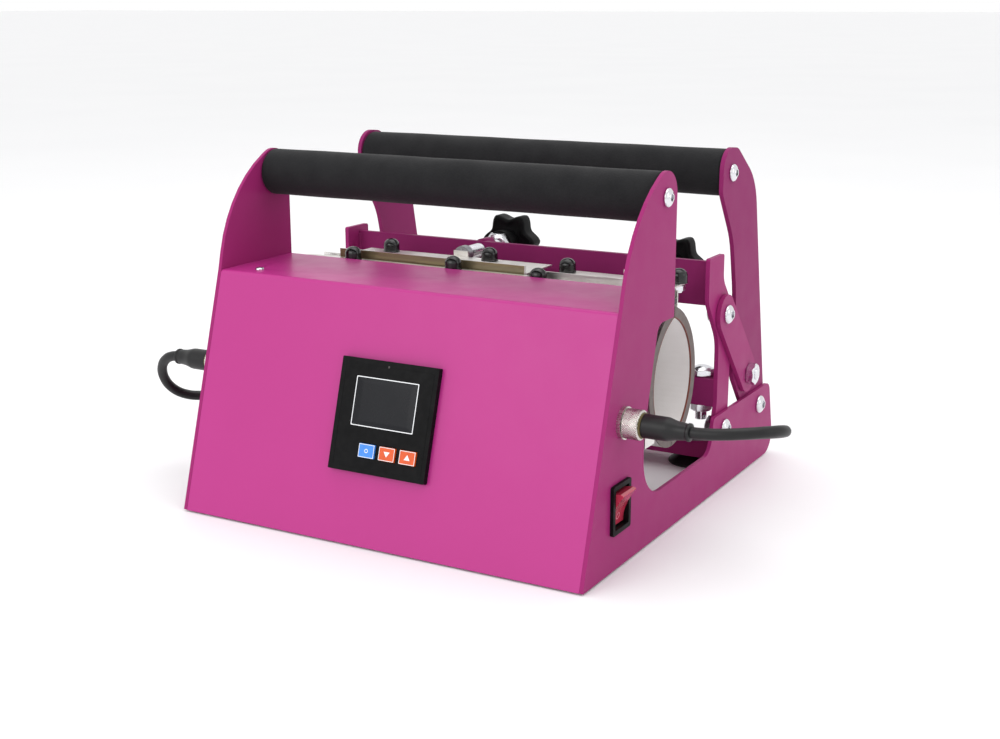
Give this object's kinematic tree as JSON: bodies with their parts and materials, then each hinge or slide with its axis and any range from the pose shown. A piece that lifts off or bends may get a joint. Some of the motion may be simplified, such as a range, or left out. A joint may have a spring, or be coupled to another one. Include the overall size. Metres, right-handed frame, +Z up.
{
  "type": "tumbler heat press",
  "caption": "Tabletop heat press for tumblers: folded pink housing, split oval heater, over-centre lever with foam grip, star-knob pressure screws and a digital controller.",
  "frame": {"origin": "middle of the base on the table, under the feet", "axes": "+X to the operator's right, +Y to the back, +Z up; the controller faces -Y"},
  "size_m": [0.4627, 0.324, 0.2381],
  "materials": {
    "pink_paint": "glossy pink powder coat",
    "pink_front": "glossy pink powder coat",
    "pink_shade": "glossy pink powder coat",
    "dark_sheet": "satin black paint",
    "grip_foam": "closed-cell foam",
    "bright_tube": "bright drawn tube",
    "black_plastic": "moulded, satin",
    "screen": "smoked window",
    "key_blue": "printed film over a key",
    "key_orange": "printed film over a key",
    "rocker_red": "translucent red",
    "nickel": "nickel plate",
    "chrome": "zinc plate, bright",
    "shell_steel": "bare sheet",
    "silicone": "silicone with a cloth face",
    "foot_rubber": "moulded rubber",
    "board": "circuit board",
    "plug_black": "moulded plug with a nickel coupling ring",
    "lead_rubber": "round black sheath"
  },
  "bodies": {
    "base": {"side_plate_left": "pink_paint", "side_plate_right": "pink_paint", "front_housing": "pink_front", "back_cover": "pink_shade", "bottom_cover": "dark_sheet", "cover_screws": "chrome", "rear_crossbar": "pink_paint", "feet": "foot_rubber", "front_handle_tube": "bright_tube", "front_handle_foam": "grip_foam", "front_handle_bolts": "chrome", "controller_case": "black_plastic", "controller_screen": "screen", "rocker_housing": "black_plastic", "heater_sockets": "nickel", "power_inlet": "black_plastic", "power_board": "board", "flange_rail": "dark_sheet", "front_shell_long": "shell_steel", "front_shell_short": "shell_steel", "front_mat_long": "silicone", "front_mat_short": "silicone", "front_cap_bolts": "black_plastic", "base_pivot_bolts": "chrome", "plug_left": "plug_black", "plug_right": "plug_black", "lead_left": "lead_rubber", "lead_right": "lead_rubber"},
    "key_set": {"button_set": "key_blue"},
    "key_down": {"button_down": "key_orange"},
    "key_up": {"button_up": "key_orange"},
    "rocker_switch": {"rocker": "rocker_red"},
    "pressure_frame": {"frame_plate_left": "pink_paint", "frame_plate_right": "pink_paint", "top_crossbar": "pink_shade", "middle_crossbar": "pink_shade", "stop_bolts": "chrome", "frame_nuts": "chrome"},
    "pusher_long": {"rear_shell_long": "shell_steel", "rear_mat_long": "silicone", "rear_cap_bolts_long": "black_plastic", "screw_block_long": "shell_steel"},
    "pusher_short": {"rear_shell_short": "shell_steel", "rear_mat_short": "silicone", "rear_cap_bolts_short": "black_plastic", "screw_block_short": "shell_steel"},
    "knob_long": {"knob_screw_long": "chrome", "star_knob_long": "black_plastic"},
    "knob_short": {"knob_screw_short": "chrome", "star_knob_short": "black_plastic"},
    "lever": {"lever_left": "pink_shade", "lever_right": "pink_shade", "rear_handle_tube": "bright_tube", "rear_handle_foam": "grip_foam", "rear_handle_bolts": "chrome"},
    "link_l": {"link_left": "pink_paint", "link_bolts_left": "chrome"},
    "link_r": {"link_right": "pink_paint", "link_bolts_right": "chrome"}
  },
  "joints": [
    {"name": "lever_hinge", "type": "hinge", "parent": "base", "child": "lever", "pos_m": [0, 0.1299, 0.0443], "axis": [-1, 0, 0], "range_deg": [0, 60]},
    {"name": "frame_hinge", "type": "hinge", "parent": "base", "child": "pressure_frame", "pos_m": [0, 0.0591, 0.0443], "axis": [-1, 0, 0], "range_deg": [0, 20]},
    {"name": "link_l_hinge", "type": "hinge", "parent": "lever", "child": "link_l", "pos_m": [-0.149, 0.104, 0.0736], "axis": [-1, 0, 0], "range_deg": [-73, 0]},
    {"name": "link_r_hinge", "type": "hinge", "parent": "lever", "child": "link_r", "pos_m": [0.149, 0.104, 0.0736], "axis": [-1, 0, 0], "range_deg": [-73, 0]},
    {"name": "pusher_long_slide", "type": "slide", "parent": "pressure_frame", "child": "pusher_long", "axis": [0, 1, 0], "range_m": [0, 0.012]},
    {"name": "knob_long_spin", "type": "hinge", "parent": "pusher_long", "child": "knob_long", "pos_m": [-0.038, 0.05, 0.157], "axis": [0, 1, 0], "range_deg": [0, 2881]},
    {"name": "pusher_short_slide", "type": "slide", "parent": "pressure_frame", "child": "pusher_short", "axis": [0, 1, 0], "range_m": [0, 0.012]},
    {"name": "knob_short_spin", "type": "hinge", "parent": "pusher_short", "child": "knob_short", "pos_m": [0.096, 0.05, 0.1505], "axis": [0, 1, 0], "range_deg": [0, 2881]},
    {"name": "key_set_press", "type": "slide", "parent": "base", "child": "key_set", "axis": [0, 0.9573, -0.289], "range_m": [0, 0.0008], "stiffness_N_per_m": 300},
    {"name": "key_down_press", "type": "slide", "parent": "base", "child": "key_down", "axis": [0, 0.9573, -0.289], "range_m": [0, 0.0008], "stiffness_N_per_m": 300},
    {"name": "key_up_press", "type": "slide", "parent": "base", "child": "key_up", "axis": [0, 0.9573, -0.289], "range_m": [0, 0.0008], "stiffness_N_per_m": 300},
    {"name": "rocker_tilt", "type": "hinge", "parent": "base", "child": "rocker_switch", "pos_m": [0.1502, -0.114, 0.04], "axis": [0, -1, 0], "range_deg": [0, 20]}
  ],
  "couplings": [
    {"joint": "frame_hinge", "follows": "lever_hinge", "ratio": 0.33217},
    {"joint": "link_l_hinge", "follows": "lever_hinge", "ratio": -1.2135},
    {"joint": "link_r_hinge", "follows": "lever_hinge", "ratio": -1.2135},
    {"joint": "knob_long_spin", "follows": "pusher_long_slide", "rad_per_m": 4188.8},
    {"joint": "knob_short_spin", "follows": "pusher_short_slide", "rad_per_m": 4188.8}
  ]
}
